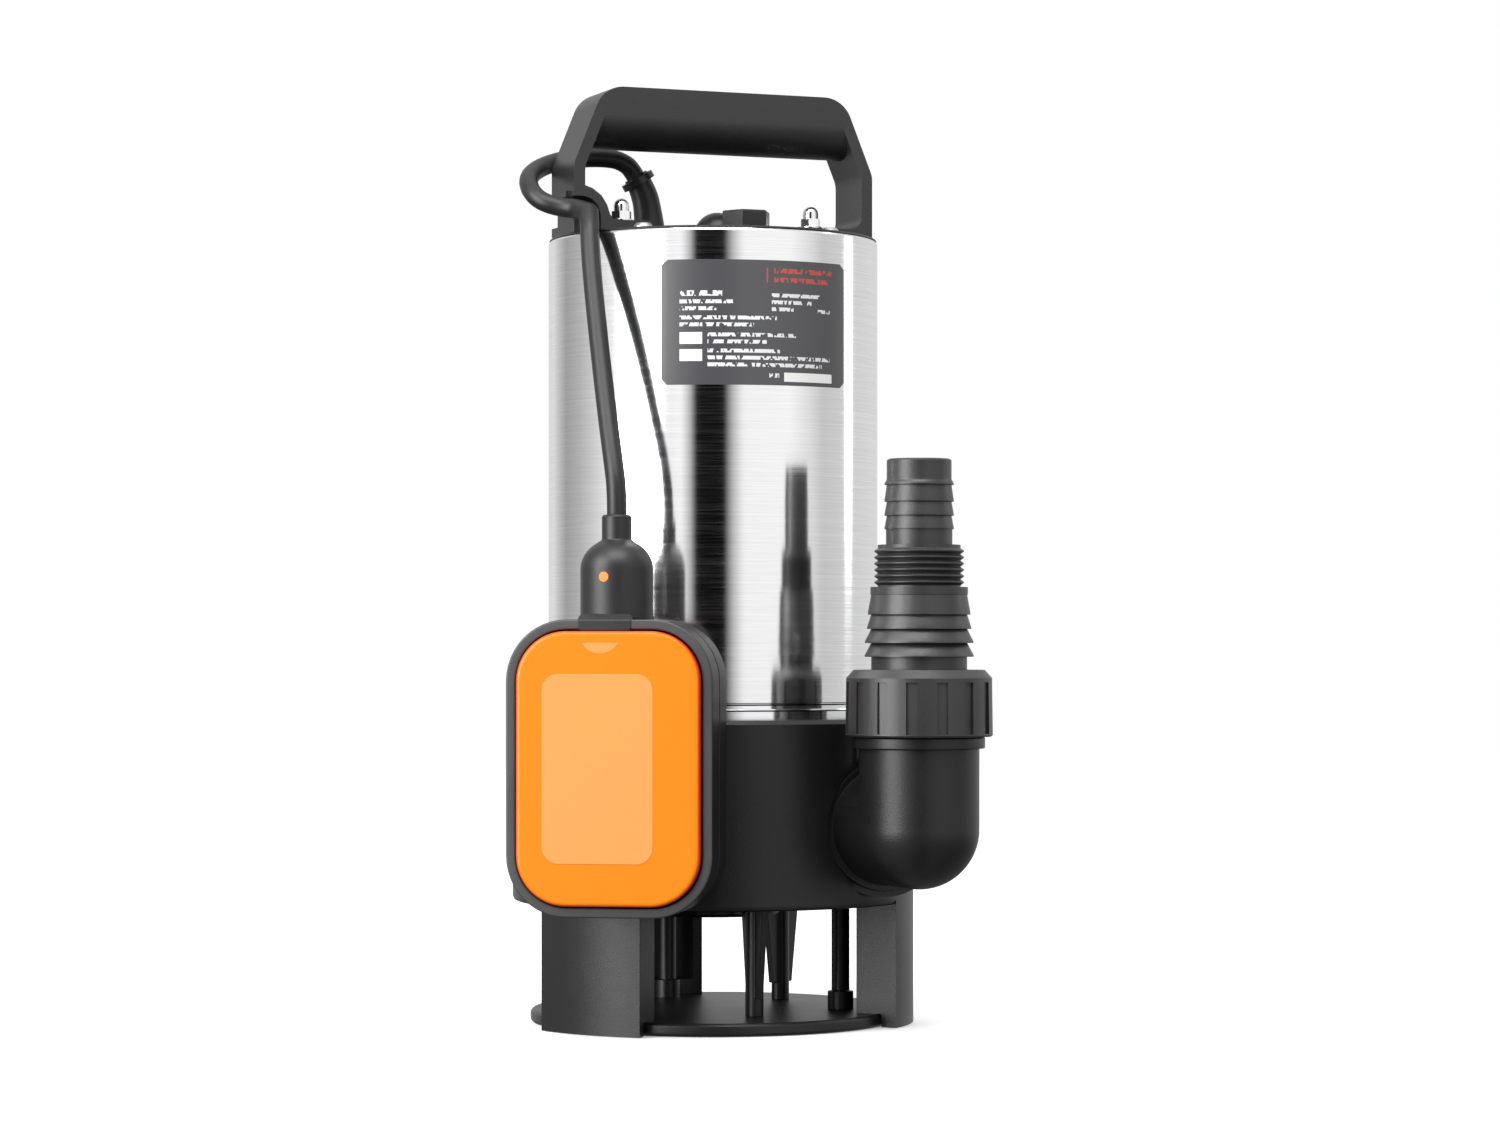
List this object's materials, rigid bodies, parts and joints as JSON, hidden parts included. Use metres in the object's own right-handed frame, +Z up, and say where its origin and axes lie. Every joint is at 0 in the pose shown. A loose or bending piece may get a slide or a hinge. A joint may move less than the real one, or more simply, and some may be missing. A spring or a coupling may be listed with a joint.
{
  "type": "submersible sump pump",
  "caption": "Submersible pump in a brushed steel shell on a legged plastic housing, with a carrying handle, hose elbow with stepped adapter, and tethered float switch.",
  "frame": {"origin": "on the floor, on the motor's axis", "axes": "+Z up along the motor shaft, +X along the carrying handle, -Y towards the discharge elbow"},
  "size_m": [0.1861, 0.2093, 0.36],
  "materials": {
    "shell_steel": "fine horizontal brushing",
    "black_plastic": "satin moulded plastic, fine grain",
    "black_rubber": "matt rubber",
    "cable_jacket": "smooth rubber jacket",
    "orange_lens": "glossy moulded plastic",
    "label_film": "dark printed film, no lettering",
    "nut_chrome": "polished",
    "screw_steel": "plain turned steel",
    "bearing_steel": "ground",
    "lamination_steel": "stacked laminations",
    "copper_winding": "enamelled copper wire",
    "rotor_aluminium": "cast",
    "bracket_cast": "die cast",
    "seal_carbon": "lapped carbon",
    "seal_ceramic": "lapped ceramic",
    "capacitor_case": "white plastic case",
    "cage_plastic": "natural nylon",
    "tie_nylon": "nylon"
  },
  "bodies": {
    "pump": {"motor_shell": "shell_steel", "motor_lid": "black_plastic", "lid_seal": "black_rubber", "lid_tie_screws": "screw_steel", "rating_label": "label_film", "stator_core": "lamination_steel", "stator_sleeve": "bracket_cast", "stator_windings": "copper_winding", "bearing_outer_rings": "bearing_steel", "bearing_balls": "bearing_steel", "run_capacitor": "capacitor_case", "capacitor_clamp": "screw_steel", "bearing_bracket": "bracket_cast", "oil_lip_seal": "black_rubber", "seal_seat": "seal_ceramic", "pump_housing": "black_plastic", "housing_seal": "black_rubber", "suction_plate": "black_plastic", "base_screws": "screw_steel", "base_plate": "black_plastic", "discharge_elbow": "black_plastic", "elbow_seal": "black_rubber", "union_washer": "black_rubber", "hose_adapter": "black_plastic", "carry_handle": "black_plastic", "handle_studs": "screw_steel", "handle_cap_nuts": "nut_chrome", "mains_gland_body": "black_plastic", "mains_gland_nut": "black_plastic", "mains_gland_seal": "black_rubber", "vent_plug": "black_plastic", "float_cable_gland": "black_plastic", "float_cable_guide": "black_rubber", "cable_tie": "tie_nylon", "float_cable_loop": "cable_jacket"},
    "rotor": {"rotor_core": "lamination_steel", "rotor_end_rings": "rotor_aluminium", "motor_shaft": "screw_steel", "bearing_inner_rings": "bearing_steel", "seal_ring": "seal_carbon", "seal_bellows": "black_rubber", "impeller": "black_plastic", "impeller_nut": "screw_steel"},
    "union": {"union_nut": "black_plastic"},
    "float": {"float_cable_drop": "cable_jacket", "float_boot": "black_rubber", "boot_plug": "orange_lens", "float_shell_front": "black_plastic", "float_shell_back": "black_plastic", "float_lens_front": "orange_lens", "float_lens_back": "orange_lens", "float_gasket": "black_rubber", "ball_track": "cage_plastic", "microswitch": "seal_carbon", "switch_plunger": "orange_lens"},
    "ball": {"rolling_ball": "bearing_steel"}
  },
  "joints": [
    {"name": "rotor_spin", "type": "hinge", "parent": "pump", "child": "rotor", "pos_m": [0, 0, 0.1], "axis": [0, 0, 1], "continuous": true},
    {"name": "union_nut_turn", "type": "hinge", "parent": "pump", "child": "union", "pos_m": [0.041, -0.104, 0.124], "axis": [0, 0, 1], "continuous": true},
    {"name": "float_swing", "type": "hinge", "parent": "pump", "child": "float", "pos_m": [-0.06, -0.024, 0.31], "axis": [-0.8572, 0.515, 0], "range_deg": [0, 120]},
    {"name": "ball_roll", "type": "slide", "parent": "float", "child": "ball", "axis": [0, 0, 1], "range_m": [0, 0.034]}
  ]
}
